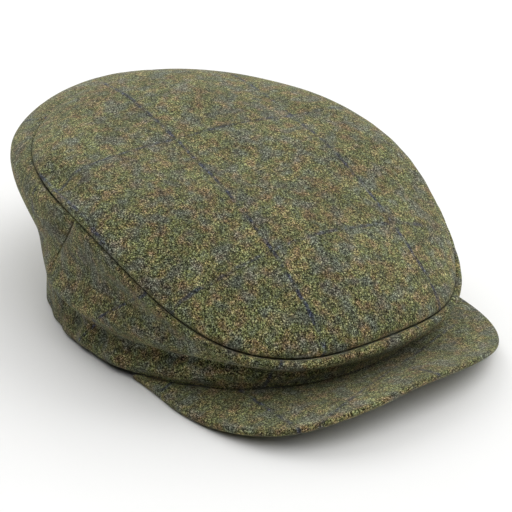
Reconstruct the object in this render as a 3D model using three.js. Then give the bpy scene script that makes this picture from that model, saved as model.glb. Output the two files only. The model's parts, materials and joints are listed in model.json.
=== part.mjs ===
// Flat cap in heather tweed, lying on a table as it would by itself.
// Millimetres, +Z up. The peak points to -Y and the wearer's left is +X.
// The origin is on the table, under the middle of the whole cap. The sizes below are measured from
// a point near the middle of the head opening, and the whole cap is shifted at the end.
// A turn is an angle round the cap in degrees: 0 at the front, 90 at the wearer's left, 180 at
// the back and -90 at the wearer's right.

import * as THREE from 'three';
import { mergeVertices } from 'three/addons/utils/BufferGeometryUtils.js';

// Cloth and seams
const clothWall = 2; // tweed with its backing
const seamGap = 0.3; // clear space between pieces that are sewn together
const seamTuck = 1.3; // how deep the cloth turns in at a seam
const seamTuckReach = 4; // how far from the seam it starts to turn in

// Head opening, measured at the outside of the hem
const openingLength = 202;
const openingWidth = 181;
const openingShift = -2.8; // its middle, along Y
const hemFrontLift = 7.1; // the peak holds the front of the hem up
const hemFlatTurn = 140; // from here back the hem lies flat on the table
const hemLiftPower = 1.25; // how soon it comes down towards there

// Seam round the top panel
const crownWidth = 180.5;
const crownFront = 103.5; // from the crown's middle to the front of the seam
const crownBack = 123; // from the crown's middle to the back of the seam
const crownShift = -21; // the crown's middle, along Y
const seamBackHeight = 83.5;
const domeRise = 18.4; // how far the top panel stands up from its seam
const domePower = 3; // low: an even dome, high: a flat top with round shoulders

// Band between the top seam and the hem
const backRoll = 24.8; // how far the band hangs out past the seam at the back
const bandSeamTurn = 101; // the upright seams
const foldDepth = 3.5; // the deepest fold in the band
const dentDepth = 1.8; // the deepest dent in the top panel

// Peak
const peakWidth = 169;
const peakReach = 142; // from the origin to the front of the peak
const peakRoot = 46.7; // from the origin forward to the peak's back corners
const peakThickness = 4;
const peakArch = 15.9; // how far the peak's sides hang below its middle
const peakSquareness = 3; // 2 gives an elliptic outline, more gives squarer corners
const peakCornerShare = 0.14; // the share of its outline that runs in to the hem at each end
const peakCornerWidth = 0.3; // what is left of the peak's width at its very ends

// Sections of the top seam and the roll under it, from the front to the back. across is a share
// of half crownWidth, along of crownFront or crownBack, height of seamBackHeight and roll of
// backRoll. widest and tucked are shares of the way down to the hem: where the roll hangs out
// most, and where the band has come in to the hem's own outline. The rows are evenly spaced
// turns and hold for both sides.
const sections = [
  { turn: 0, across: 0, along: -1, height: 0.413, roll: 0.32, widest: 0.48, tucked: 1 },
  { turn: 30, across: 0.515, along: -0.872, height: 0.394, roll: 0.24, widest: 0.45, tucked: 0.98 },
  { turn: 60, across: 0.872, along: -0.493, height: 0.518, roll: 0.05, widest: 0.33, tucked: 0.88 },
  { turn: 90, across: 1, along: 0, height: 0.771, roll: -0.02, widest: 0.21, tucked: 0.78 },
  { turn: 120, across: 0.911, along: 0.539, height: 0.884, roll: 0.277, widest: 0.17, tucked: 0.74 },
  { turn: 150, across: 0.515, along: 0.912, height: 0.944, roll: 0.771, widest: 0.17, tucked: 0.74 },
  { turn: 180, across: 0, along: 1, height: 1, roll: 1, widest: 0.17, tucked: 0.74 },
];

// Folds in the band: the turn and the share of the way down where each is deepest, how far it
// reaches to either side in degrees and in the same share, and its depth as a share of foldDepth,
// negative where the cloth goes in.
const bandFolds = [
  { turn: -114, drop: 0.46, turnReach: 20, dropReach: 0.12, depth: -0.45 },
  { turn: -99, drop: 0.61, turnReach: 20, dropReach: 0.09, depth: 0.6 },
  { turn: -88, drop: 0.79, turnReach: 18, dropReach: 0.1, depth: -0.6 },
  { turn: -131, drop: 0.72, turnReach: 14, dropReach: 0.17, depth: -0.9 },
  { turn: 96, drop: 0.62, turnReach: 20, dropReach: 0.11, depth: 0.4 },
  { turn: 126, drop: 0.7, turnReach: 17, dropReach: 0.18, depth: -0.8 },
  { turn: 168, drop: 0.66, turnReach: 12, dropReach: 0.16, depth: -0.5 },
];

// Dents in the top panel: the turn and the share of the way out from the middle where each is
// deepest, its reach in both, and its depth as a share of dentDepth, negative for a hump.
const topDents = [
  { turn: 66, out: 0.9, turnReach: 13, outReach: 0.16, depth: 1 },
  { turn: 112, out: 0.62, turnReach: 20, outReach: 0.2, depth: 0.8 },
  { turn: 158, out: 0.72, turnReach: 18, outReach: 0.22, depth: -0.7 },
];

// Rows of the peak from its root to its folded edge: the share of the way out, and the thickness
// there as a share of peakThickness, which rounds the edge off.
const peakRows = [
  { way: 0, thick: 1 },
  { way: 0.14, thick: 1 },
  { way: 0.32, thick: 1 },
  { way: 0.52, thick: 1 },
  { way: 0.72, thick: 1 },
  { way: 0.89, thick: 1 },
  { way: 0.965, thick: 0.82 },
  { way: 1, thick: 0.36 },
];

// Mesh steps
const topTurns = 72;
const topRings = [0, 0.16, 0.34, 0.52, 0.68, 0.8, 0.89, 0.95];
const bandDrops = [0.04, 0.09, 0.16, 0.25, 0.36, 0.48, 0.6, 0.72, 0.86, 1];
const bandStep = 5; // degrees
const bandEndSteps = [0, 1.2, 2.4, 4]; // closer steps at a panel's upright seams, in degrees
const peakSteps = 32;

const radians = THREE.MathUtils.degToRad;

// The plain bell that every fold, dent and tuck follows: 1 in the middle, near 0 past its reach
const bell = (distance, reach) => Math.exp(-((distance / reach) ** 2) * 2);

// A turn brought into -180 to 180
const wrapTurn = (turn) => THREE.MathUtils.euclideanModulo(turn + 180, 360) - 180;

// Direction away from the cap's middle at a turn, level with the table
function outward(turn) {
  return new THREE.Vector3(Math.sin(radians(turn)), -Math.cos(radians(turn)), 0);
}

// Smooth curve round the cap through a column of the sections, the same on both sides: the
// cosine series that meets every row
function evenSeries(values) {
  const last = values.length - 1;
  const share = (i) => (i === 0 || i === last ? 0.5 : 1);
  const amounts = values.map((_, k) => {
    const sum = values.reduce((s, v, j) => s + share(j) * v * Math.cos((Math.PI * j * k) / last), 0);
    return (share(k) * 2 * sum) / last;
  });
  return (turn) => amounts.reduce((s, a, k) => s + a * Math.cos(k * radians(turn)), 0);
}

// The same for a column that is opposite on the two sides: a sine series
function oddSeries(values) {
  const last = values.length - 1;
  const amounts = values.map((_, k) => {
    const sum = values.reduce((s, v, j) => s + v * Math.sin((Math.PI * j * k) / last), 0);
    return (2 * sum) / last;
  });
  return (turn) => amounts.reduce((s, a, k) => s + a * Math.sin(k * radians(turn)), 0);
}

const seamAcross = oddSeries(sections.map((s) => (s.across * crownWidth) / 2));
const seamAlong = evenSeries(sections.map((s) => s.along * (s.along < 0 ? crownFront : crownBack)));
const seamHeight = evenSeries(sections.map((s) => s.height * seamBackHeight));
const rollOut = evenSeries(sections.map((s) => s.roll * backRoll));
const rollWidest = evenSeries(sections.map((s) => s.widest));
const tuckedIn = evenSeries(sections.map((s) => s.tucked));

// The seam round the top panel
function seamPoint(turn) {
  return new THREE.Vector3(seamAcross(turn), crownShift + seamAlong(turn), seamHeight(turn));
}

// The hem round the head opening, moved in by an inset
function hemPoint(turn, inset = 0) {
  const way = outward(turn);
  const flat = Math.cos(radians(hemFlatTurn));
  const forward = Math.max(0, (Math.cos(radians(turn)) - flat) / (1 - flat));
  const lift = hemFrontLift * forward ** hemLiftPower;
  return new THREE.Vector3(
    way.x * (openingWidth / 2 - inset),
    openingShift + way.y * (openingLength / 2 - inset),
    lift,
  );
}

// Height of the tilted plane through the front and the back of the top seam
function crownPlane(y) {
  const front = seamPoint(0);
  const back = seamPoint(180);
  return front.z + ((back.z - front.z) * (y - front.y)) / (back.y - front.y);
}

// Outer face of the top panel. out runs from 0 in the middle to 1 at the seam.
function topFace(turn, out) {
  const seam = seamPoint(turn);
  const x = seam.x * out;
  const y = crownShift + (seam.y - crownShift) * out;
  const edge = (seam.z - crownPlane(seam.y)) * out ** 2;
  const dome = domeRise * (1 - out ** domePower);
  const dents = topDents.reduce((sum, dent) => {
    const beside = bell(wrapTurn(turn - dent.turn), dent.turnReach);
    return sum + dent.depth * beside * bell(out - dent.out, dent.outReach);
  }, 0);
  const fade = 1 - out ** 12;
  return new THREE.Vector3(x, y, crownPlane(y) + edge + dome - dents * dentDepth * fade);
}

// Outer face of the band. drop runs from 0 at the top seam to 1 at the hem.
function bandFace(turn, drop) {
  const seam = seamPoint(turn);
  const hem = hemPoint(turn);
  const come = THREE.MathUtils.smoothstep(drop, 0, tuckedIn(turn));
  const down = drop / rollWidest(turn);
  const roll = rollOut(turn) * down * Math.exp(1 - down) * (1 - drop ** 4);
  const fade = Math.sin(Math.PI * drop) ** 0.5;
  const folds = bandFolds.reduce((sum, fold) => {
    const beside = bell(wrapTurn(turn - fold.turn), fold.turnReach);
    return sum + fold.depth * beside * bell(drop - fold.drop, fold.dropReach);
  }, 0);
  const girth = radians(1) * seam.clone().setZ(0).length();
  const fromSeam = Math.abs(Math.abs(wrapTurn(turn)) - bandSeamTurn) * girth;
  const tuck = seamTuck * bell(fromSeam, seamTuckReach);
  const reach = roll + folds * foldDepth * fade - tuck;
  return new THREE.Vector3(
    THREE.MathUtils.lerp(seam.x, hem.x, come),
    THREE.MathUtils.lerp(seam.y, hem.y, come),
    THREE.MathUtils.lerp(seam.z, hem.z, drop),
  ).addScaledVector(outward(turn), reach);
}

// Unit normal of a face at a place, pointing out of the cap
function faceNormal(face, turn, way) {
  const step = 0.01;
  const round = face(turn + 1, way).sub(face(turn - 1, way));
  const down = face(turn, Math.min(1, way + step)).sub(face(turn, Math.max(0, way - step)));
  return down.cross(round).normalize();
}

// Where the top panel and the band meet, both turn in along the line between their two normals
function seamTurnIn(turn) {
  return faceNormal(topFace, turn, 1).add(faceNormal(bandFace, turn, 0.02)).normalize().negate();
}

// Edge of a panel at the top seam, turned in by seamTuck and half a gap off the seam's middle:
// way is 1 for the top panel and -1 for the band
function partFromSeam(turn, way) {
  const inward = seamTurnIn(turn);
  const along = seamPoint(turn + 1).sub(seamPoint(turn - 1)).normalize();
  const across = along.cross(inward).normalize();
  return seamPoint(turn)
    .addScaledVector(across, (way * seamGap) / 2)
    .addScaledVector(inward, seamTuck);
}

// Closed body between a face and a back that have the same rows and columns of points. Its edges
// are closed too, unless the rows run all the way round. Rows that meet in a point are allowed.
function closedSheet(face, back, runsRound) {
  const rows = face.length;
  const columns = face[0].length;
  const positions = [...face, ...back].flat().flatMap((p) => p.toArray());
  const at = (side, row, column) => (side * rows + row) * columns + (column % columns);
  const triangles = [];
  const quad = (a, b, c, d) => triangles.push([a, b, c], [a, c, d]);
  const spans = runsRound ? columns : columns - 1;
  for (let row = 0; row < rows - 1; row += 1) {
    for (let column = 0; column < spans; column += 1) {
      quad(at(0, row, column), at(0, row + 1, column), at(0, row + 1, column + 1), at(0, row, column + 1));
      quad(at(1, row, column), at(1, row, column + 1), at(1, row + 1, column + 1), at(1, row + 1, column));
    }
  }
  for (let column = 0; column < spans; column += 1) {
    quad(at(0, 0, column), at(0, 0, column + 1), at(1, 0, column + 1), at(1, 0, column));
    quad(at(0, rows - 1, column), at(1, rows - 1, column), at(1, rows - 1, column + 1), at(0, rows - 1, column + 1));
  }
  if (!runsRound) {
    const end = columns - 1;
    for (let row = 0; row < rows - 1; row += 1) {
      quad(at(0, row, 0), at(1, row, 0), at(1, row + 1, 0), at(0, row + 1, 0));
      quad(at(0, row, end), at(0, row + 1, end), at(1, row + 1, end), at(1, row, end));
    }
  }
  const loose = new THREE.BufferGeometry();
  loose.setAttribute('position', new THREE.Float32BufferAttribute(positions, 3));
  loose.setIndex(triangles.flat());
  const merged = mergeVertices(loose);
  const corners = merged.index.array;
  const kept = [];
  for (let i = 0; i < corners.length; i += 3) {
    const [a, b, c] = corners.slice(i, i + 3);
    if (a !== b && b !== c && c !== a) kept.push(a, b, c);
  }
  merged.setIndex(kept);
  merged.computeVertexNormals();
  return merged;
}

// The top panel, whose last ring turns in at the seam
function topPanel() {
  const turns = Array.from({ length: topTurns }, (_, i) => (360 * i) / topTurns);
  const face = topRings.map((out) => turns.map((turn) => topFace(turn, out)));
  const back = topRings.map((out) => turns.map((turn) => (
    topFace(turn, out).addScaledVector(faceNormal(topFace, out ? turn : 0, Math.max(out, 0.02)), -clothWall)
  )));
  const edge = turns.map((turn) => partFromSeam(turn, 1));
  face.push(edge);
  back.push(turns.map((turn, i) => edge[i].clone().addScaledVector(seamTurnIn(turn), clothWall)));
  return closedSheet(face, back, true);
}

// A panel of the band between two turns, with close steps where it tucks in at its ends
function bandPanel(from, to) {
  const ends = bandEndSteps[bandEndSteps.length - 1];
  const spans = Math.round((to - from - 2 * ends) / bandStep);
  const turns = [
    ...bandEndSteps.slice(0, -1).map((step) => from + step),
    ...Array.from({ length: spans + 1 }, (_, i) => from + ends + ((to - from - 2 * ends) * i) / spans),
    ...bandEndSteps.slice(0, -1).reverse().map((step) => to - step),
  ];
  const face = bandDrops.map((drop) => turns.map((turn) => bandFace(turn, drop)));
  const back = bandDrops.map((drop) => turns.map((turn) => {
    const normal = faceNormal(bandFace, turn, drop);
    if (drop === 1) normal.setZ(0).normalize();
    return bandFace(turn, drop).addScaledVector(normal, -clothWall);
  }));
  const edge = turns.map((turn) => partFromSeam(turn, -1));
  face.unshift(edge);
  back.unshift(turns.map((turn, i) => edge[i].clone().addScaledVector(seamTurnIn(turn), clothWall)));
  return closedSheet(face, back, false);
}

// Middle of the peak's outer edge, for a share from -1 at one back corner to 1 at the other
function peakEdge(share) {
  const angle = (share * Math.PI) / 2;
  const squared = (value) => Math.sign(value) * Math.abs(value) ** (2 / peakSquareness);
  const x = (peakWidth / 2) * squared(Math.sin(angle));
  const y = -peakRoot - (peakReach - peakRoot) * squared(Math.cos(angle));
  const hang = (2 * x) / peakWidth;
  return new THREE.Vector3(x, y, peakThickness / 2 + peakArch * (1 - hang ** 2));
}

// The peak. Its root lies flat under the hem, from the hem's inner face to just outside it.
function peakBody() {
  const cornerTurn = THREE.MathUtils.radToDeg(Math.acos((peakRoot + openingShift) / (openingLength / 2)));
  const shares = Array.from({ length: peakSteps + 1 }, (_, i) => (2 * i) / peakSteps - 1);
  const below = new THREE.Vector3(0, 0, -seamGap - peakThickness / 2);
  const underHem = (inset) => shares.map((share) => hemPoint(share * cornerTurn, inset).add(below));
  const root = underHem(-seamGap);
  const edge = shares.map((share, i) => {
    const clear = THREE.MathUtils.smoothstep(1 - Math.abs(share), 0, peakCornerShare);
    return root[i].clone().lerp(peakEdge(share), THREE.MathUtils.lerp(peakCornerWidth, 1, clear));
  });
  const middles = peakRows.map(({ way }) => root.map((p, i) => p.clone().lerp(edge[i], way)));
  const thick = [peakThickness, ...peakRows.map((row) => row.thick * peakThickness)];
  const shifted = (side) => [underHem(clothWall), ...middles].map((row, i) => (
    row.map((p) => p.clone().setZ(p.z + (side * thick[i]) / 2))
  ));
  return closedSheet(shifted(1), shifted(-1), false);
}

// Adds a piece to the cap in tweed of its own shade
const cap = new THREE.Group();
function addPiece(name, geometry, color) {
  const cloth = new THREE.MeshStandardMaterial({ color, roughness: 0.95, metalness: 0 });
  const piece = new THREE.Mesh(geometry, cloth);
  piece.name = name;
  cap.add(piece);
}

const halfGapTurn = THREE.MathUtils.radToDeg(seamGap / openingWidth);
addPiece('crown_top', topPanel(), '#747258');
addPiece('band_front', bandPanel(-bandSeamTurn + halfGapTurn, bandSeamTurn - halfGapTurn), '#6c6a52');
addPiece('band_back', bandPanel(bandSeamTurn + halfGapTurn, 360 - bandSeamTurn - halfGapTurn), '#6a6850');
addPiece('peak', peakBody(), '#706e55');

const whole = new THREE.Box3().setFromObject(cap);
const middle = whole.getCenter(new THREE.Vector3());
cap.position.set(-middle.x, -middle.y, -whole.min.z);

export default cap;
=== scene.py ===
import functools
import json
import math

import bmesh
import bpy
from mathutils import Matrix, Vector, noise

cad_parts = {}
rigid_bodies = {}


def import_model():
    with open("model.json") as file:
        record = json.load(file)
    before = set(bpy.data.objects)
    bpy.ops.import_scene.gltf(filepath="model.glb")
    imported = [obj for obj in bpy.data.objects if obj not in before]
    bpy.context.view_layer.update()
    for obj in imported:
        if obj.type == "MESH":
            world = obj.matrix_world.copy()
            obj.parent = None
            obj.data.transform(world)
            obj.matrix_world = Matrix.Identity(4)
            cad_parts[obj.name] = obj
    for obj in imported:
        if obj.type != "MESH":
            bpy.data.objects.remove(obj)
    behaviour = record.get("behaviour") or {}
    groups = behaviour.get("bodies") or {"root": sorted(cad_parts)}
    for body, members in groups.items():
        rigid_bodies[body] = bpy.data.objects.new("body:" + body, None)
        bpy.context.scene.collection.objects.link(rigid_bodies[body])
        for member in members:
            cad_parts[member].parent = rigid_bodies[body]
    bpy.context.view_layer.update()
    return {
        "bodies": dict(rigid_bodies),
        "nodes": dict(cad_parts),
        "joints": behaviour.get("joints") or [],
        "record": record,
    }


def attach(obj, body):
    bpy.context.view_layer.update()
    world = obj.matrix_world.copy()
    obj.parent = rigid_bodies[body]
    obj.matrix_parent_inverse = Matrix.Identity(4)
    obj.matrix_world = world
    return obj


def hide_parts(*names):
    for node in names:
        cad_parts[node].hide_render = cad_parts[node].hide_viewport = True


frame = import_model()

MM = 0.001
CAP_SHIFT = Vector((0.219, 7.858, 0))  # brings the middle of the whole cap over the origin

# Cloth and seams
CLOTH_WALL = 1.9  # tweed with its backing
SEAM_GAP = 0.3
SEAM_ROUND = 2.8  # how far the cloth comes down where it turns in at a pressed seam
SEAM_CREASE = (0.66, 1.0)  # share of that in the sharp crease, and the crease's reach
SEAM_FALL = (0.34, 3.2)  # share in the soft fall towards it, and the reach of the fall
SEAM_TURN_IN = 2.4  # length of the turned-in edge
SEAM_DEPTH = 2.6  # how far down it goes

# The cap's own sizes, as in the CAD
OPENING_LENGTH = 202
OPENING_WIDTH = 181
OPENING_SHIFT = -2.8
HEM_FRONT_LIFT = 7.1
HEM_FLAT_TURN = 140
HEM_LIFT_POWER = 1.25
CROWN_WIDTH = 180.5
CROWN_FRONT = 103.5
CROWN_BACK = 123
CROWN_SHIFT = -21
SEAM_BACK_HEIGHT = 83.5
DOME_RISE = 18.4
DOME_POWER = 3
BACK_ROLL = 24.8
ROLL_FADE_POWER = 4
BAND_SEAM_TURN = 101
FOLD_DEPTH = 3.5
DENT_DEPTH = 1.8
PEAK_WIDTH = 169
PEAK_REACH = 142
PEAK_ROOT = 39.5
PEAK_THICKNESS = 4
PEAK_ARCH = 15.9
PEAK_SQUARENESS = 3
PEAK_CORNER_SHARE = 0.13
PEAK_CORNER_WIDTH = 0.35

# Sections of the top seam and the roll under it, every 30 degrees from the front to the back:
# across, along, height, roll, widest, tucked
SECTIONS = [
    (0, -1, 0.413, 0.32, 0.48, 1),
    (0.515, -0.872, 0.394, 0.24, 0.45, 0.98),
    (0.872, -0.493, 0.518, 0.05, 0.33, 0.88),
    (1, 0, 0.771, -0.02, 0.21, 0.78),
    (0.911, 0.539, 0.884, 0.277, 0.17, 0.74),
    (0.515, 0.912, 0.944, 0.771, 0.17, 0.74),
    (0, 1, 1, 1, 0.17, 0.74),
]

# Folds in the band: turn, share of the way down, reach in degrees, reach in the same share, and
# depth as a share of FOLD_DEPTH, negative where the cloth goes in
BAND_FOLDS = [
    (-114, 0.46, 20, 0.12, -0.45),
    (-99, 0.61, 20, 0.09, 0.6),
    (-88, 0.79, 18, 0.1, -0.6),
    (-131, 0.72, 14, 0.17, -0.9),
    (96, 0.62, 20, 0.11, 0.4),
    (126, 0.7, 17, 0.18, -0.8),
    (168, 0.66, 12, 0.16, -0.5),
]

# Dents in the top panel: turn, share of the way out, reach in both, and depth as a share of
# DENT_DEPTH, negative for a hump
TOP_DENTS = [
    (66, 0.9, 13, 0.16, 1),
    (112, 0.62, 20, 0.2, 0.8),
    (158, 0.72, 18, 0.22, -0.7),
]

# Folds that only the dressed cap has. Each is a line of places with its reach to the sides in mm:
# turn, share of the way down, and depth in mm, negative where the cloth goes in
FOLD_LINES = [
    # the ridge that runs forward from the upright seam on the wearer's right
    (7, [(-116, 0.5, 0.8), (-104, 0.56, 2.6), (-97, 0.6, 3.9), (-90, 0.6, 3.8), (-82, 0.56, 3.4),
         (-72, 0.48, 2.6), (-64, 0.42, 1), (-56, 0.36, -0.4)]),
    # the hollow under it
    (7.5, [(-108, 0.76, -1.6), (-99, 0.8, -5.2), (-92, 0.83, -4.2), (-87, 0.79, -3.4), (-81, 0.8, -5.6),
           (-74, 0.77, -4.8), (-68, 0.73, -6.2), (-60, 0.66, -7), (-53, 0.56, -6), (-46, 0.46, -3.8),
           (-36, 0.38, -1.4)]),
    # short puckers that run up from the hem
    (4, [(-88, 1, 3.4), (-88, 0.8, 2.8)]),
    (6, [(-74, 1, 4), (-76, 0.84, 2.4)]),
    (4, [(-94, 1, -1.6), (-93, 0.85, -1.6)]),
    (4, [(-82, 0.97, -2.0), (-81, 0.84, -1.6)]),
    (9, [(-114, 0.98, -3.2), (-103, 0.98, -2.4)]),
    # the lip over the back corner of the peak
    (5.5, [(-70, 0.9, 1.0), (-62, 0.88, 3.0), (-52, 0.86, 2.8), (-43, 0.84, 0.8)]),
    # the slack between the seam and the ridge, and the pull at the foot of the upright seam
    (10, [(-99, 0.34, -0.8), (-84, 0.3, -2.8), (-66, 0.24, -3), (-54, 0.22, -1.6), (-44, 0.2, -0.4)]),
    (5, [(-100, 0.12, -0.4), (-102, 0.25, -1.6), (-104, 0.36, -2.4)]),
    # the band tucks in more above the middle of the peak
    (13, [(-58, 0.5, -0.8), (-46, 0.46, -3.2), (-34, 0.46, -4.8), (-24, 0.48, -4.2), (-12, 0.54, -2.2),
          (0, 0.62, -0.6)]),
    # and rests on the peak along its lower edge
    (6, [(-42, 0.93, 0.4), (-30, 0.93, 1.6), (-16, 0.93, 2.2), (0, 0.93, 1.8), (10, 0.93, 0.8)]),
    # the wearer's left, where the cloth hangs a little differently
    (8, [(112, 0.46, 0.8), (100, 0.52, 2.2), (86, 0.58, 2.0), (72, 0.5, 1.0), (60, 0.4, 0.4)]),
    (8.5, [(108, 0.7, -0.8), (95, 0.78, -2.2), (80, 0.8, -2.4), (66, 0.7, -2.0), (52, 0.56, -1.0)]),
    (5, [(84, 1, 1.4), (86, 0.84, 0.8)]),
    # the cloth that rests on the peak towards its other corner
    (11, [(4, 0.88, 0.5), (13, 0.86, 2.6), (20, 0.84, 5.5), (30, 0.82, 8.5), (42, 0.82, 8),
          (56, 0.86, 4), (66, 0.88, 1)]),
    # the back, which sags over its own fold
    (10, [(-168, 0.56, 0.6), (-150, 0.6, 1.8), (-134, 0.66, 0.8)]),
    (9, [(-176, 0.74, -1.0), (-158, 0.78, -2.0), (-138, 0.85, -1.6), (-124, 0.84, -0.8)]),
    (10, [(136, 0.58, 0.6), (152, 0.64, 1.6), (170, 0.6, 0.8)]),
    (8, [(140, 0.8, -1.2), (160, 0.84, -1.6), (176, 0.8, -0.6)]),
]
TURN_LENGTH = 1.57  # mm of band to a degree, taken as the same all round
DROP_LENGTH = 62  # mm from the seam to the hem at the sides
FAR = 2.2  # folds and dents are left out past this many of their reaches
FOLD_FULLNESS = 1.2  # how soon folds grow to their full depth below the seam
HEM_WAVE_START = 0.8  # share of the way down where the hem starts to wave

# Dents in the top panel that only the dressed cap has: turn, share of the way out, reach in both,
# and depth in mm, negative for a hump
SOFT_DENTS = [
    (-112, 0.93, 9, 0.07, 5.4),
    (-103, 0.92, 7, 0.06, 2.2),
    (-128, 0.86, 12, 0.1, -0.8),
    (-90, 0.8, 14, 0.12, -0.5),
    (-60, 0.78, 14, 0.13, 0.9),
    (38, 0.86, 14, 0.1, 0.7),
]
DENT_FADE_POWER = 12  # dents and swells of the top fade out close to the seam, the soft dents closer
SOFT_DENT_FADE_POWER = 40
SHOULDER = 3.6  # the top panel rounds over towards its seam by this much
SHOULDER_REACH = 6.5
# Where the top seam rides a little higher or lower than on the CAD model: turn, reach, mm
SEAM_LIFTS = [(-1, 30, 1.6), (-54, 22, -0.6)]
# The front of the top seam lies further back and lower than on the CAD model, so that the roll
# comes down on the peak. It moves along the photograph's own line of sight, which keeps the outline.
FRONT_SETTLE = 14
FRONT_TURN = 6  # the middle of the settled stretch
FRONT_REACH = 80  # degrees
FRONT_ROLL_CUT = 0.5  # the share by which the roll is smaller there
FRONT_WIDEST_CUT = 0.32  # and by which its widest place is nearer the seam
VIEWPOINT = Vector((-380.9, -533.4, 368.3))  # where the photograph was taken from
# The slow swell and sag of cloth that nothing holds flat: its size and its height
TOP_SWELL = (34, 0.9)
BAND_SWELL = (24, 0.9)
PEAK_SWELL = (30, 0.8)
TOP_SWELL_CUT = 3  # mm; the height at which the top's swell is read from the noise
PEAK_SWELL_CUT = 40  # and the peak's
PEAK_SWELL_START = (0.15, 0.6)  # the peak's swell grows over these shares of the way out
HEM_WAVE = (13, 1.6)
# Puckers that the stitching draws up beside the top seam: height, and for each of two waves that
# make them uneven, radians to a degree round the cap and at the front
TOP_PUCKERS = (0.22, 1.31, 0, 0.47, 1)
BAND_PUCKERS = (0.25, 1.13, 2, 0.39, 0)
PUCKER_PLACE = 2  # mm from the seam
PUCKER_REACH = 3
# Where the top seam is pressed less: over the soft back of the roll, as a share and the turns between
# which that begins, and where the band bulges on the wearer's left, as a share, a turn and a reach
BACK_EASING = (0.6, 108, 124)
LEFT_EASING = (0.35, 22, 24)
# How the upright seams lean as they come down: share of the way, degrees forward
SIDE_SEAM_LEAN = [(0, 2), (0.18, 0), (0.4, -3), (1, -1)]
SIDE_SEAM_LEAN_REACH = 32  # degrees to each side that lean with them
SIDE_SEAM_ROUND = 1.3
SIDE_SEAM_SINK = (1.4, 6)  # depth and reach of the soft hollow beside the seam
SIDE_SEAM_START = (-0.12, 0.14)  # the seam sinks in over this share of the way down
SIDE_SEAM_FADE = (0.12, 0.3)  # and fades out over this one


# The cap's form

def lerp(a, b, share):
    return a + (b - a) * share


def ease(value, low, high):
    share = min(1, max(0, (value - low) / (high - low)))
    return share * share * (3 - 2 * share)


def bell(distance, reach):
    """A hump of height 1 that has faded to about an eighth at its reach."""
    return math.exp(-2 * (distance / reach) ** 2)


def wrap_turn(turn):
    return (turn + 180) % 360 - 180


def outward(turn):
    way = math.radians(turn)
    return Vector((math.sin(way), -math.cos(way), 0))


def even_series(values):
    """Smooth curve round the cap through a column of SECTIONS, the same on both sides."""
    last = len(values) - 1
    share = lambda i: 0.5 if i in (0, last) else 1
    along = lambda k: sum(share(j) * v * math.cos(math.pi * j * k / last) for j, v in enumerate(values))
    amounts = [share(k) * 2 / last * along(k) for k in range(last + 1)]
    return lambda turn: sum(a * math.cos(k * math.radians(turn)) for k, a in enumerate(amounts))


def odd_series(values):
    """The same for a column that is opposite on the two sides."""
    last = len(values) - 1
    along = lambda k: sum(v * math.sin(math.pi * j * k / last) for j, v in enumerate(values))
    amounts = [2 / last * along(k) for k in range(last + 1)]
    return lambda turn: sum(a * math.sin(k * math.radians(turn)) for k, a in enumerate(amounts))


seam_across = odd_series([s[0] * CROWN_WIDTH / 2 for s in SECTIONS])
seam_along = even_series([s[1] * (CROWN_FRONT if s[1] < 0 else CROWN_BACK) for s in SECTIONS])
seam_height = even_series([s[2] * SEAM_BACK_HEIGHT for s in SECTIONS])
roll_out = even_series([s[3] * BACK_ROLL for s in SECTIONS])
roll_widest = even_series([s[4] for s in SECTIONS])
tucked_in = even_series([s[5] for s in SECTIONS])


def front_share(turn):
    """How much a place belongs to the settled front."""
    return bell(wrap_turn(turn) - FRONT_TURN, FRONT_REACH)


def seam_point(turn):
    lift = sum(rise * bell(wrap_turn(turn - at), reach) for at, reach, rise in SEAM_LIFTS)
    point = Vector((seam_across(turn), CROWN_SHIFT + seam_along(turn), seam_height(turn) + lift))
    return point + (point - VIEWPOINT).normalized() * FRONT_SETTLE * front_share(turn)


def hem_point(turn, inset=0):
    way = outward(turn)
    flat = math.cos(math.radians(HEM_FLAT_TURN))
    forward = max(0, (math.cos(math.radians(turn)) - flat) / (1 - flat))
    return Vector((
        way.x * (OPENING_WIDTH / 2 - inset),
        OPENING_SHIFT + way.y * (OPENING_LENGTH / 2 - inset),
        HEM_FRONT_LIFT * forward ** HEM_LIFT_POWER,
    ))


SEAM_FRONT = Vector((0, CROWN_SHIFT - CROWN_FRONT, SECTIONS[0][2] * SEAM_BACK_HEIGHT))
SEAM_BACK = Vector((0, CROWN_SHIFT + CROWN_BACK, SEAM_BACK_HEIGHT))


def crown_plane(y):
    """Height of the sloping plane through the seam's front and back ends."""
    return lerp(SEAM_FRONT.z, SEAM_BACK.z, (y - SEAM_FRONT.y) / (SEAM_BACK.y - SEAM_FRONT.y))


def soft_unevenness(place, size, height):
    return noise.noise(place / size) * height


def spots(table, turn, way):
    """The sum of a table's folds or dents at a place."""
    return sum(
        depth * bell(wrap_turn(turn - at), turn_reach) * bell(way - middle, way_reach)
        for at, middle, turn_reach, way_reach, depth in table
        if abs(wrap_turn(turn - at)) < FAR * turn_reach
    )


def fold_lines(turn, drop):
    """The depth of the folds in FOLD_LINES at a place, each as deep as it is at its nearest point."""
    total = 0
    for reach, line in FOLD_LINES:
        best = None
        for (turn_a, drop_a, depth_a), (turn_b, drop_b, depth_b) in zip(line, line[1:]):
            across, down = wrap_turn(turn_b - turn_a) * TURN_LENGTH, (drop_b - drop_a) * DROP_LENGTH
            x, y = wrap_turn(turn - turn_a) * TURN_LENGTH, (drop - drop_a) * DROP_LENGTH
            share = min(1, max(0, (x * across + y * down) / (across ** 2 + down ** 2)))
            off = math.hypot(x - across * share, y - down * share)
            if best is None or off < best[0]:
                best = (off, lerp(depth_a, depth_b, share))
        if best[0] < FAR * reach:
            total += best[1] * bell(best[0], reach)
    return total


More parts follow.
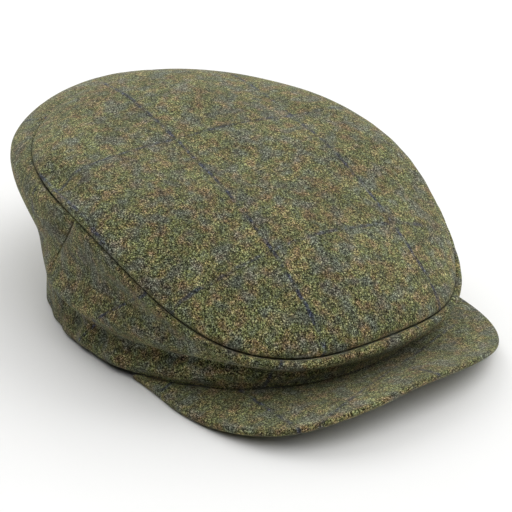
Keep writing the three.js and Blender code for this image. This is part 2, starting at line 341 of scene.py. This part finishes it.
def top_face(turn, out):
    """Outer face of the top panel. out runs from 0 in the middle to 1 at the seam."""
    seam = seam_point(turn)
    x = seam.x * out
    y = CROWN_SHIFT + (seam.y - CROWN_SHIFT) * out
    edge = (seam.z - crown_plane(seam.y)) * out ** 2
    inside = (1 - out) * math.hypot(seam.x, seam.y - CROWN_SHIFT)
    dome = (DOME_RISE - SHOULDER) * (1 - abs(out) ** DOME_POWER)
    shoulder = SHOULDER * (1 - math.exp(-inside / SHOULDER_REACH))
    swell = soft_unevenness(Vector((x, y, TOP_SWELL_CUT)), *TOP_SWELL)
    dents = spots(TOP_DENTS, turn, out) * DENT_DEPTH
    soft_dents = spots(SOFT_DENTS, turn, out) * (1 - out ** SOFT_DENT_FADE_POWER)
    height = dome + shoulder + (swell - dents) * (1 - out ** DENT_FADE_POWER) - soft_dents
    return Vector((x, y, crown_plane(y) + edge + height))


def band_face(turn, drop):
    """Outer face of the band. drop runs from 0 at the top seam to 1 at the hem."""
    seam, hem = seam_point(turn), hem_point(turn)
    come = ease(drop, 0, tucked_in(turn))
    front = front_share(turn)
    down = drop / (roll_widest(turn) * (1 - FRONT_WIDEST_CUT * front))
    roll = roll_out(turn) * (1 - FRONT_ROLL_CUT * front) * down * math.exp(1 - down)
    roll *= 1 - drop ** ROLL_FADE_POWER
    fade = math.sin(math.pi * min(1, max(0, drop))) ** 0.5
    folds = spots(BAND_FOLDS, turn, drop) * FOLD_DEPTH + fold_lines(turn, drop)
    place = Vector((lerp(seam.x, hem.x, come), lerp(seam.y, hem.y, come), lerp(seam.z, hem.z, drop)))
    swell = soft_unevenness(place, *BAND_SWELL) * fade
    hem_wave = soft_unevenness(hem, *HEM_WAVE) * ease(drop, HEM_WAVE_START, 1)
    return place + outward(turn) * (roll + folds * min(1, fade * FOLD_FULLNESS) + swell + hem_wave)


def leaned(turn, drop):
    """The turn of a place in the band, whose upright seams don't come straight down."""
    side = wrap_turn(turn)
    near = bell(abs(side) - BAND_SEAM_TURN, SIDE_SEAM_LEAN_REACH)
    for (low, lean_low), (high, lean_high) in zip(SIDE_SEAM_LEAN, SIDE_SEAM_LEAN[1:]):
        if drop <= high:
            break
    lean = lerp(lean_low, lean_high, ease(drop, low, high)) * near
    return turn - (lean if side > 0 else -lean)


def face_normal(face, turn, way):
    step = 0.01
    across = face(turn + 1, way) - face(turn - 1, way)
    down = face(turn, min(1, way + step)) - face(turn, max(0, way - step))
    return down.cross(across).normalized()


def seam_turn_in(turn):
    """The way both cloths turn in where the top panel and the band meet."""
    return -(face_normal(top_face, turn, 1) + face_normal(band_face, turn, 0.02)).normalized()


def rolled(distance, depth):
    """How far a pressed edge has turned down, at a distance from its seam."""
    past = max(0, distance)
    return depth * sum(share * math.exp(-past / reach) for share, reach in (SEAM_CREASE, SEAM_FALL))


def seam_pressed(turn):
    """How sharply the top seam is pressed, as a share."""
    side = wrap_turn(turn)
    back, back_start, back_end = BACK_EASING
    left, left_turn, left_reach = LEFT_EASING
    return 1 - back * ease(abs(side), back_start, back_end) - left * bell(side - left_turn, left_reach)


def pressed_edge(turn, distance, frame, puckers):
    """How cloth leaves its form at a distance from the top seam. It turns in, over small puckers, and
    stands off the middle of the seam by its gap. frame holds the ways in and away from the middle."""
    inward, away = frame
    height, quick, quick_start, slow, slow_start = puckers
    waves = math.sin(turn * quick + quick_start) * math.sin(turn * slow + slow_start)
    pucker = height * waves * bell(distance - PUCKER_PLACE, PUCKER_REACH)
    deeper = SEAM_DEPTH * min(1, max(0, -distance) / SEAM_TURN_IN)
    turned = rolled(distance, SEAM_ROUND) * seam_pressed(turn) + deeper - pucker
    return inward * turned + away * SEAM_GAP * bell(max(0, distance), 1)


# Sheets of cloth

WELD = 0.02  # mm within which places of a sheet are one
HEAD_MIDDLE = Vector((0, 0, 30))  # inside the cap, so that outward is away from it


def cloth_piece(name, columns, rows, place, weave_place):
    """A sheet of cloth: a flat grid laid on the form. place and weave_place give the point on the
    form and the point on the flat cloth, in millimetres, for a column and a row."""
    mesh = bmesh.new()
    bmesh.ops.create_grid(mesh, x_segments=columns - 1, y_segments=rows - 1, size=1)
    weave = mesh.loops.layers.uv.new("weave")
    line_at = lambda along, lines: round((along + 1) / 2 * (lines - 1))
    spot = {vert: (line_at(vert.co.x, columns), line_at(vert.co.y, rows)) for vert in mesh.verts}
    for face in mesh.faces:
        for corner in face.loops:
            corner[weave].uv = weave_place(*spot[corner.vert]) * MM
    for vert, (column, row) in spot.items():
        vert.co = (place(column, row) + CAP_SHIFT) * MM
    bmesh.ops.remove_doubles(mesh, verts=mesh.verts, dist=WELD * MM)
    bmesh.ops.recalc_face_normals(mesh, faces=mesh.faces)
    # An open sheet has no inside of its own, so its faces are turned away from the head
    away = lambda face: face.normal.dot(face.calc_center_median() - HEAD_MIDDLE * MM) * face.calc_area()
    if sum(away(face) for face in mesh.faces) < 0:
        bmesh.ops.reverse_faces(mesh, faces=mesh.faces)
    for face in mesh.faces:
        face.smooth = True
    data = bpy.data.meshes.new(name)
    mesh.to_mesh(data)
    mesh.free()
    piece = bpy.data.objects.new(name, data)
    bpy.context.scene.collection.objects.link(piece)
    return piece


def give_wall(piece):
    wall = piece.modifiers.new("wall", "SOLIDIFY")
    wall.thickness = CLOTH_WALL * MM
    wall.offset = -1
    wall.use_even_offset = True


def soften(piece):
    soft = piece.modifiers.new("soft", "SUBSURF")
    soft.levels = 1
    soft.render_levels = 1


def dress(piece, node, material):
    piece.data.materials.append(material)
    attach(piece, "root")
    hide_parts(node)


# Top panel

EDGE_STEPS = [-SEAM_TURN_IN, -1, 0, 0.15, 0.35, 0.65, 1.05, 1.6, 2.4, 3.6, 5.2, 7.4, 10]  # mm from the seam
TOP_COLUMNS = 145
TOP_RINGS = 26
GRAIN_TURN = math.radians(-3.8)  # the cloth's warp lies this far off the cap's own line
PLAN_CHECK = Vector((21, -15.75))  # the place of the overcheck on the top
DOME_DRAW = 0.045  # the share by which the check draws together at DOME_SIDE
DOME_SIDE = 90  # mm from the middle to the sides


def plan_weave(point):
    """Where a point of the top or the peak lies on the flat cloth."""
    return PLAN_CHECK + Vector((
        point.x * math.cos(GRAIN_TURN) + point.y * math.sin(GRAIN_TURN),
        -point.x * math.sin(GRAIN_TURN) + point.y * math.cos(GRAIN_TURN),
    ))


def seam_frame(turn):
    """The ways in and, for the top panel, away from the middle of the gap. The band's is opposite."""
    inward = seam_turn_in(turn)
    along = (seam_point(turn + 1) - seam_point(turn - 1)).normalized()
    return inward, along.cross(inward).normalized()


top_turns = [-180 + 360 * i / (TOP_COLUMNS - 1) for i in range(TOP_COLUMNS)]
top_frames = [seam_frame(turn) for turn in top_turns]
top_rows = len(EDGE_STEPS) + TOP_RINGS


def top_place(column, row):
    turn = top_turns[column]
    radius = (seam_point(turn) - Vector((0, CROWN_SHIFT, 0))).to_2d().length
    if row >= len(EDGE_STEPS):
        share = 1 - (row - len(EDGE_STEPS) + 1) / TOP_RINGS
        return top_face(turn, share * (1 - EDGE_STEPS[-1] / radius))
    distance = EDGE_STEPS[row]
    point = top_face(turn, 1 - max(0, distance) / radius)
    return point + pressed_edge(turn, distance, top_frames[column], TOP_PUCKERS)


def top_weave(column, row):
    """The cloth goes over the dome, so seen from above its check draws together at the sides."""
    point = top_place(column, row)
    return plan_weave(Vector((point.x * (1 + DOME_DRAW * (point.x / DOME_SIDE) ** 2), point.y)))


crown_top = cloth_piece("top_panel_cloth", TOP_COLUMNS, top_rows, top_place, top_weave)
give_wall(crown_top)
soften(crown_top)


# Band

# Rows of the band below the last of EDGE_STEPS: shares of the way down, spread over what the edge
# steps leave of it, as if those steps always ended at EDGE_END
BAND_DROPS = [
    0.2, 0.25, 0.3, 0.36, 0.42, 0.48, 0.54, 0.6, 0.66, 0.72, 0.78, 0.84, 0.89, 0.93, 0.96, 0.98, 1,
]
EDGE_END = 0.12
BAND_STEP = 1.6  # degrees
SIDE_SEAM_STEPS = [0, 0.25, 0.5, 0.8, 1.2, 1.7, 2.4]  # degrees from an upright seam
# The place of the overcheck on each panel of the band, and how far it leans back on the way down
FRONT_CHECK = (Vector((-10.2, -14)), 0.54)
BACK_CHECK = (Vector((14, -14)), 0)
CHECK_LEAN_TURN = 60  # degrees from the front within which the lean grows


def band_piece(name, start, end, check):
    """One panel of the band, from one upright seam round to the other."""
    check_place, skew = check
    inner_start, inner_end = start + SIDE_SEAM_STEPS[-1], end - SIDE_SEAM_STEPS[-1]
    spans = round((inner_end - inner_start) / BAND_STEP)
    turns = (
        [start + s for s in SIDE_SEAM_STEPS[:-1]]
        + [inner_start + (inner_end - inner_start) * i / spans for i in range(spans + 1)]
        + [end - s for s in reversed(SIDE_SEAM_STEPS[:-1])]
    )
    tops = [leaned(turn, 0) for turn in turns]
    frames = [(inward, -away) for inward, away in map(seam_frame, tops)]
    heights = [(seam_point(t) - hem_point(t)).length for t in turns]
    girth = [0]
    for a, b in zip(tops, tops[1:]):
        girth.append(girth[-1] + (seam_point(b) - seam_point(a)).length)
    middle = min(range(len(turns)), key=lambda i: abs(turns[i] - (start + end) / 2))
    rows = len(EDGE_STEPS) + len(BAND_DROPS)

    def drop_of(column, row):
        if row < len(EDGE_STEPS):
            return max(0, EDGE_STEPS[row]) / heights[column]
        share = (BAND_DROPS[row - len(EDGE_STEPS)] - EDGE_END) / (1 - EDGE_END)
        return lerp(EDGE_STEPS[-1] / heights[column], 1, share)

    def place(column, row):
        drop = drop_of(column, row)
        turn = leaned(turns[column], drop)
        point = band_face(turn, drop)
        to_side = min(abs(turns[column] - start), abs(turns[column] - end))
        from_seam = math.radians(to_side) * point.to_2d().length
        crisp = ease(drop, *SIDE_SEAM_START) * (1 - ease(drop, *SIDE_SEAM_FADE))
        sink, reach = SIDE_SEAM_SINK
        point -= outward(turn) * crisp * (rolled(from_seam, SIDE_SEAM_ROUND) + sink * bell(from_seam, reach))
        if row < len(EDGE_STEPS):
            point += pressed_edge(turn, EDGE_STEPS[row], frames[column], BAND_PUCKERS)
        return point

    def weave_place(column, row):
        turn = tops[column]
        point = place(column, row)
        seam = seam_point(turn)
        along = (seam_point(turn + 1) - seam_point(turn - 1)).normalized()
        off = point - seam
        slip = off.dot(along)
        across = girth[column] - girth[middle] + slip
        down = -math.sqrt(max(0, off.length_squared - slip ** 2))
        lean = skew * max(-1, min(1, wrap_turn(turn) / CHECK_LEAN_TURN))
        return check_place + Vector((across + lean * down, down))

    piece = cloth_piece(name, len(turns), rows, place, weave_place)
    give_wall(piece)
    soften(piece)
    return piece


half_gap = math.degrees(SEAM_GAP / OPENING_WIDTH)
front_end = BAND_SEAM_TURN - half_gap
back_start = BAND_SEAM_TURN + half_gap
band_front = band_piece("band_front_cloth", -front_end, front_end, FRONT_CHECK)
band_back = band_piece("band_back_cloth", back_start, 360 - back_start, BACK_CHECK)


# Peak

PEAK_COLUMNS = 121
PEAK_EDGE_ROUND = 1.7  # half the thickness of the folded edge
PEAK_CORNER_POINT = 0.035  # the share of the way to each corner over which the peak thins to a point
PEAK_CHECK = Vector((28.3, 145))
PEAK_CHECK_SKEW = -0.386
PEAK_ROOT_SLIMMER = 0.1  # half of what the peak is thinner by at its root
PEAK_THINNING = (0.1, 1)  # it thins to its edge over these shares of the way out
# Rows from the root, over the top to the folded edge, and back underneath: share of the way out,
# side from 1 on top to -1 underneath, and how far short of the edge, in the fold's own radius
PEAK_TOP_WAYS = [-0.12, 0, 0.08, 0.18, 0.29, 0.4, 0.51, 0.62, 0.72, 0.81, 0.88, 0.93, 0.96]
PEAK_EDGE_TURNS = [65, 40, 15, -15, -40, -65]
PEAK_ROWS = (
    [(way, 1, 0) for way in PEAK_TOP_WAYS]
    + [(1, math.sin(math.radians(t)), 1 - math.cos(math.radians(t))) for t in PEAK_EDGE_TURNS]
    + [(way, -1, 0) for way in reversed(PEAK_TOP_WAYS)]
    + [(PEAK_TOP_WAYS[0], 1, 0)]
)


def peak_edge(share):
    angle = share * math.pi / 2
    squared = lambda value: math.copysign(abs(value) ** (2 / PEAK_SQUARENESS), value)
    x = PEAK_WIDTH / 2 * squared(math.sin(angle))
    y = -PEAK_ROOT - (PEAK_REACH - PEAK_ROOT) * squared(math.cos(angle))
    return Vector((x, y, PEAK_THICKNESS / 2 + PEAK_ARCH * (1 - (2 * x / PEAK_WIDTH) ** 2)))


CORNER_TURN = math.degrees(math.acos((PEAK_ROOT + OPENING_SHIFT) / (OPENING_LENGTH / 2)))


def peak_place(column, row):
    share = 2 * column / (PEAK_COLUMNS - 1) - 1
    way, side, back = PEAK_ROWS[row]
    below = Vector((0, 0, -SEAM_GAP - PEAK_THICKNESS / 2))
    root = hem_point(share * CORNER_TURN, -SEAM_GAP) + below
    clear = ease(1 - abs(share), 0, PEAK_CORNER_SHARE)
    edge = root.lerp(peak_edge(share), lerp(PEAK_CORNER_WIDTH, 1, clear))
    half = lerp(PEAK_THICKNESS / 2 - PEAK_ROOT_SLIMMER, PEAK_EDGE_ROUND, ease(way, *PEAK_THINNING))
    half *= math.sqrt(min(1, (1 - abs(share)) / PEAK_CORNER_POINT))
    if way < 0:
        point = hem_point(share * CORNER_TURN, CLOTH_WALL) + below
    else:
        inwards = (root - edge).normalized() if (root - edge).length > 1 else Vector((0, 0, 0))
        before_fold = max(0, 1 - PEAK_EDGE_ROUND / max(1, (edge - root).length))
        share_out = 1 if way == 1 else min(way, before_fold)
        point = root.lerp(edge, share_out) + inwards * (back * half)
        swell = soft_unevenness(Vector((point.x, point.y, PEAK_SWELL_CUT)), *PEAK_SWELL)
        point += Vector((0, 0, swell * ease(way, *PEAK_SWELL_START)))
    return point + Vector((0, 0, side * half))


def peak_weave(column, row):
    """The peak is cut from another part of the cloth, and its check runs askew."""
    flat = plan_weave(peak_place(column, row))
    return PEAK_CHECK + Vector((flat.x, flat.y + PEAK_CHECK_SKEW * flat.x))


peak = cloth_piece("peak_cloth", PEAK_COLUMNS, len(PEAK_ROWS), peak_place, peak_weave)
soften(peak)


# Material

def linear(hex_colour):
    """The linear colour that Blender works in, from sRGB hex."""
    channels = [int(hex_colour[i:i + 2], 16) / 255 for i in (1, 3, 5)]
    return [c / 12.92 if c <= 0.04045 else ((c + 0.055) / 1.055) ** 2.4 for c in channels] + [1]


def add_node(tree, kind, settings=None, **inputs):
    """Adds a node with its settings, and values or links for its inputs. An input goes by its name,
    with underscores for spaces, or by i and its number. A node stands for its first output."""
    node = tree.nodes.new(kind)
    for name, value in (settings or {}).items():
        setattr(node, name, value)
    for name, value in inputs.items():
        spot = node.inputs[int(name[1:]) if name[1:].isdigit() else name.replace("_", " ")]
        if isinstance(value, bpy.types.Node):
            value = value.outputs[0]
        if isinstance(value, bpy.types.NodeSocket):
            tree.links.new(value, spot)
        else:
            spot.default_value = value
    return node


FIBRE_GRAIN = 0.36  # mm across a fibre end; coarser than real wool, so that the picture still holds it
FIBRE_LENGTH = 2.4  # mm of a fibre that lies on the face
FIBRE_WIDTH = 0.28
FIBRE_TURNS = (12, 68, 131)  # degrees, the three ways in which fibres lie
CURL = 0.9  # mm between the small curls that milling raises, coarser than real ones for the same reason
TUFT = 1.4  # mm across a place where fibres are drawn together
NAP = 0.8  # mm between the tufts that stand up
DYE_PATCH = 6  # mm over which the blend leans to one dye
COOL_PATCH = 8.4  # and over which it leans to slate
CLOUD = 15  # mm over which the whole cloth grows lighter or darker
TWILL_RIB = 1.489  # mm between ribs, coarser than the real ones, so that they still show
WAVE_ACROSS = 10 * math.sqrt(2)  # radians that Blender's diagonal bands turn in one unit across them
CHECK_ACROSS = 67.7  # mm between the overcheck's threads
CHECK_ALONG = 84.7
CHECK_THREAD = 1.8  # two navy threads side by side
CHECK_WANDER = 1.6  # mm that a thread wanders off its line
WEAR_PATCH = 4.5  # mm over which it is worn or kept
NAVY = "#272d43"
SLATE = "#555a54"  # the cool wool that greys the blend in patches
SHEEN = "#cfcdb0"  # the pale ends of the nap

# Dyed wools in the blend, from the greenest to the warmest
DYES = [
    (0.0, "#545a42"),
    (0.25, "#5b5f35"),
    (0.45, "#61603d"),
    (0.6, "#676238"),
    (0.8, "#6a5f3c"),
    (1.0, "#6a563a"),
]

# Settings that several nodes share
SMOOTH = {"interpolation_type": "SMOOTHSTEP"}
ADD = {"operation": "ADD"}
SUBTRACT = {"operation": "SUBTRACT"}
MULTIPLY = {"operation": "MULTIPLY"}
MULTIPLY_ADD = {"operation": "MULTIPLY_ADD"}
MAXIMUM = {"operation": "MAXIMUM"}
COLOUR = {"data_type": "RGBA"}


def set_ramp(ramp, stops):
    colours = ramp.color_ramp.elements
    while len(colours) < len(stops):
        colours.new(0.5)
    for stop, (at, hex_colour) in zip(colours, stops):
        stop.position = at
        stop.color = linear(hex_colour)


def milled_heather_tweed():
    """Wool tweed, spun from pale and dark fibres dyed olive, mustard, brown and slate, woven as a
    twill and then milled. Milling felts the face, so the eye sees short fibres of mixed colours and a
    soft nap that lightens where the cloth turns away, and hardly any weave. A thin navy overcheck is
    woven in, and the milling has broken it up."""
    material = bpy.data.materials.new("milled_heather_tweed")
    material.use_nodes = True
    tree = material.node_tree
    shader = tree.nodes["Principled BSDF"]
    add = functools.partial(add_node, tree)
    lookup = add("ShaderNodeTexCoord")
    place = lookup.outputs["Object"]
    weave = lookup.outputs["UV"]

    # Fibre ends show as grains, the finest that the picture holds
    grain = add("ShaderNodeTexVoronoi", Vector=place, Scale=1 / (FIBRE_GRAIN * MM))
    grain_parts = add("ShaderNodeSeparateColor", Color=grain.outputs["Color"])
    light_grain = add("ShaderNodeMapRange", SMOOTH, Value=grain_parts.outputs[1],
                      From_Min=0.45, From_Max=0.8, To_Min=0.08, To_Max=2.5)

    # Fibres that lie on the face, each a thin pale streak
    streaks = None
    for turn in FIBRE_TURNS:
        laid = add("ShaderNodeMapping", {"vector_type": "TEXTURE"}, Vector=weave,
                   Rotation=(0, 0, math.radians(turn)), Scale=(FIBRE_WIDTH * MM, FIBRE_LENGTH * MM, 1))
        fibre = add("ShaderNodeTexNoise", {"noise_dimensions": "2D"}, Vector=laid, Scale=1.0, Detail=0.0)
        streak = add("ShaderNodeMapRange", SMOOTH, Value=fibre, From_Min=0.56, From_Max=0.76)
        streaks = add("ShaderNodeMath", MAXIMUM, i0=streaks, i1=streak) if streaks else streak

    # Small curls that milling raises, with a painted highlight on the crown of each and painted shade in the
    # hollows between them; the curls have no bump of their own
    curl = add("ShaderNodeTexVoronoi", Vector=place, Scale=1 / (CURL * MM))
    curl_painted_shade = add("ShaderNodeMapRange", SMOOTH, Value=curl,
                     From_Min=0.12, From_Max=0.75, To_Min=1.8, To_Max=0.52)
    # Tufts where the yarn has drawn several fibres out together
    tuft = add("ShaderNodeTexVoronoi", Vector=place, Scale=1 / (TUFT * MM))
    tuft_parts = add("ShaderNodeSeparateColor", Color=tuft.outputs["Color"])
    tuft_shade = add("ShaderNodeMapRange", SMOOTH, Value=tuft_parts.outputs[2], To_Min=0.84, To_Max=1.16)
    # The cloth as a whole is a little darker in some places than in others
    cloud = add("ShaderNodeTexNoise", Vector=place, Scale=1 / (CLOUD * MM), Detail=1.0, Roughness=0.5)
    cloud_shade = add("ShaderNodeMapRange", SMOOTH, Value=cloud,
                      From_Min=0.3, From_Max=0.7, To_Min=0.85, To_Max=1.15)

    grain_share = add("ShaderNodeMath", MULTIPLY, i0=light_grain, i1=0.86)
    shade = add("ShaderNodeMath", MULTIPLY_ADD, i0=streaks, i1=0.9, i2=grain_share)
    for change in (curl_painted_shade, tuft_shade, cloud_shade):
        shade = add("ShaderNodeMath", MULTIPLY, i0=shade, i1=change)

    # The blend drifts from dye to dye, as the carded wool was never quite even
    drift = add("ShaderNodeTexNoise", Vector=place, Scale=1 / (DYE_PATCH * MM), Detail=1.5, Roughness=0.65)
    drift_pick = add("ShaderNodeMapRange", SMOOTH, Value=drift,
                     From_Min=0.3, From_Max=0.7, To_Min=0.06, To_Max=0.94)
    tuft_pick = add("ShaderNodeMapRange", SMOOTH, Value=tuft_parts.outputs[0], To_Min=-0.05, To_Max=0.05)
    dyes = add("ShaderNodeValToRGB", Fac=add("ShaderNodeMath", ADD, i0=drift_pick, i1=tuft_pick))
    set_ramp(dyes, DYES)
    # Patches where slate wool greys the blend, from another part of the same noise
    elsewhere = add("ShaderNodeVectorMath", ADD, i0=place, i1=(0.31, 0.17, 0.52))
    cool = add("ShaderNodeTexNoise", Vector=elsewhere, Scale=1 / (COOL_PATCH * MM), Detail=1.5,
               Roughness=0.65)
    cool_share = add("ShaderNodeMapRange", SMOOTH, Value=cool, From_Min=0.44, From_Max=0.68, To_Max=0.7)
    greyed = add("ShaderNodeMix", COLOUR, Factor=cool_share, A=dyes, B=linear(SLATE))
    # A pale fibre holds less dye, and a dark one more
    dye_held = add("ShaderNodeMapRange", SMOOTH, Value=light_grain,
                   From_Min=0.08, From_Max=2.5, To_Min=1.1, To_Max=0.82)
    cloth = add("ShaderNodeHueSaturation", Color=greyed.outputs["Result"], Value=shade, Saturation=dye_held)

    # The overcheck, whose threads wander a little and are worn away in places
    parts = add("ShaderNodeSeparateXYZ", Vector=weave)
    uneven = add("ShaderNodeMath", SUBTRACT, i0=drift, i1=0.5)
    wander = add("ShaderNodeMath", MULTIPLY, i0=uneven, i1=CHECK_WANDER * MM)
    threads = []
    for axis, spacing, shown in ((0, CHECK_ACROSS, 0.95), (1, CHECK_ALONG, 0.75)):
        wandering = add("ShaderNodeMath", ADD, i0=parts.outputs[axis], i1=wander)
        off = add("ShaderNodeMath", {"operation": "PINGPONG"}, i0=wandering, i1=spacing / 2 * MM)
        threads.append(add("ShaderNodeMapRange", SMOOTH, Value=off, From_Min=CHECK_THREAD * 0.2 * MM,
                           From_Max=CHECK_THREAD * 0.8 * MM, To_Min=shown, To_Max=0))
    both = add("ShaderNodeMath", MAXIMUM, i0=threads[0], i1=threads[1])
    wear = add("ShaderNodeTexNoise", Vector=place, Scale=1 / (WEAR_PATCH * MM), Detail=2.0, Roughness=0.65)
    kept = add("ShaderNodeMapRange", SMOOTH, Value=wear,
               From_Min=0.39, From_Max=0.61, To_Min=0.2, To_Max=0.92)
    navy_share = add("ShaderNodeMath", MULTIPLY, i0=both, i1=kept)
    navy = add("ShaderNodeVectorMath", {"operation": "SCALE"}, i0=linear(NAVY)[:3], Scale=shade)
    checked = add("ShaderNodeMix", COLOUR, Factor=navy_share, A=cloth, B=navy)
    tree.links.new(checked.outputs["Result"], shader.inputs["Base Color"])

    # The nap stands up in tufts, over the faint ribs of the twill
    nap = add("ShaderNodeTexNoise", Vector=place, Scale=1 / (NAP * MM), Detail=3.0, Roughness=0.7)
    ribs = add("ShaderNodeTexWave", {"bands_direction": "DIAGONAL"}, Vector=weave, Distortion=2.5,
               Scale=2 * math.pi / (WAVE_ACROSS * TWILL_RIB * MM), Detail=1.0, Detail_Scale=3)
    height = nap
    for raised, share in ((ribs.outputs["Fac"], 0.12), (grain_parts.outputs[1], 0.3), (streaks, 0.25)):
        height = add("ShaderNodeMath", MULTIPLY_ADD, i0=raised, i1=share, i2=height)
    bump = add("ShaderNodeBump", Height=height, Strength=0.7, Distance=0.5 * MM)
    tree.links.new(bump.outputs["Normal"], shader.inputs["Normal"])

    shader.inputs["Roughness"].default_value = 0.95
    shader.inputs["IOR"].default_value = 1.53
    shader.inputs["Specular IOR Level"].default_value = 0.25
    shader.inputs["Sheen Weight"].default_value = 0.35
    shader.inputs["Sheen Roughness"].default_value = 0.35
    shader.inputs["Sheen Tint"].default_value = linear(SHEEN)
    return material


tweed = milled_heather_tweed()
dress(crown_top, "crown_top", tweed)
dress(band_front, "band_front", tweed)
dress(band_back, "band_back", tweed)
dress(peak, "peak", tweed)


# Studio

FLOOR_HALF = 6  # metres

floor_mesh = bmesh.new()
bmesh.ops.create_grid(floor_mesh, x_segments=1, y_segments=1, size=FLOOR_HALF)
floor_data = bpy.data.meshes.new("floor")
floor_mesh.to_mesh(floor_data)
floor_mesh.free()
floor = bpy.data.objects.new("floor", floor_data)
bpy.context.scene.collection.objects.link(floor)
# A roll of matt white paper: pale and without shine, so that only soft shadows show on it
paper = bpy.data.materials.new("white_paper")
paper.use_nodes = True
paper_shader = paper.node_tree.nodes["Principled BSDF"]
paper_shader.inputs["Base Color"].default_value = linear("#ebebea")
paper_shader.inputs["Roughness"].default_value = 0.9
paper_shader.inputs["Specular IOR Level"].default_value = 0.1
floor_data.materials.append(paper)

world = bpy.data.worlds.new("studio")
bpy.context.scene.world = world
world.use_nodes = True
backdrop = world.node_tree.nodes["Background"]
backdrop.inputs["Color"].default_value = (1, 1, 1, 1)
backdrop.inputs["Strength"].default_value = 0.02

# Softboxes, each a sun whose light comes from a wide spread, so that shadows stay soft. Right is
# the picture's right. Name, turn, height in degrees, strength, and spread in degrees
SOFTBOXES = [
    ("right_softbox", 90, 36, 0.52, 60),
    ("front_softbox", 0, 62, 0.33, 60),
    ("back_softbox", 180, 36, 0.38, 60),
    ("overhead_softbox", 0, 88, 0.25, 80),
    ("right_back_fill", 135, 18, 0.2, 50),
    ("back_fill", 180, 18, 0.18, 50),
    ("right_front_fill", 45, 36, 0.12, 60),
]
for name, turn, height, strength, spread in SOFTBOXES:
    box = bpy.data.lights.new(name, "SUN")
    box.energy = strength * math.pi
    box.angle = math.radians(spread)
    stand = bpy.data.objects.new(name, box)
    stand.rotation_mode = "QUATERNION"
    towards = outward(turn) * math.cos(math.radians(height)) + Vector((0, 0, math.sin(math.radians(height))))
    stand.rotation_quaternion = towards.to_track_quat("Z", "Y")
    bpy.context.scene.collection.objects.link(stand)

bpy.context.scene.view_settings.view_transform = "Standard"

# The camera stands where the photograph was taken from
LOOK_AT = (Vector((0, -20, 40)) + CAP_SHIFT) * MM
CAMERA_AZIMUTH = math.radians(-36.571)
CAMERA_ELEVATION = math.radians(27.18)
CAMERA_DISTANCE = 718.65 * MM
camera_back = Vector((
    math.sin(CAMERA_AZIMUTH) * math.cos(CAMERA_ELEVATION),
    -math.cos(CAMERA_AZIMUTH) * math.cos(CAMERA_ELEVATION),
    math.sin(CAMERA_ELEVATION),
))
lens = bpy.data.cameras.new("camera")
lens.sensor_width = 36
lens.lens = 104.79
lens.shift_x = 0.00213
lens.shift_y = -0.0416
lens.clip_end = 50
camera = bpy.data.objects.new("camera", lens)
camera.rotation_mode = "QUATERNION"
camera.location = LOOK_AT + camera_back * CAMERA_DISTANCE
camera.rotation_quaternion = (-camera_back).to_track_quat("-Z", "Y")
bpy.context.scene.collection.objects.link(camera)
bpy.context.scene.camera = camera
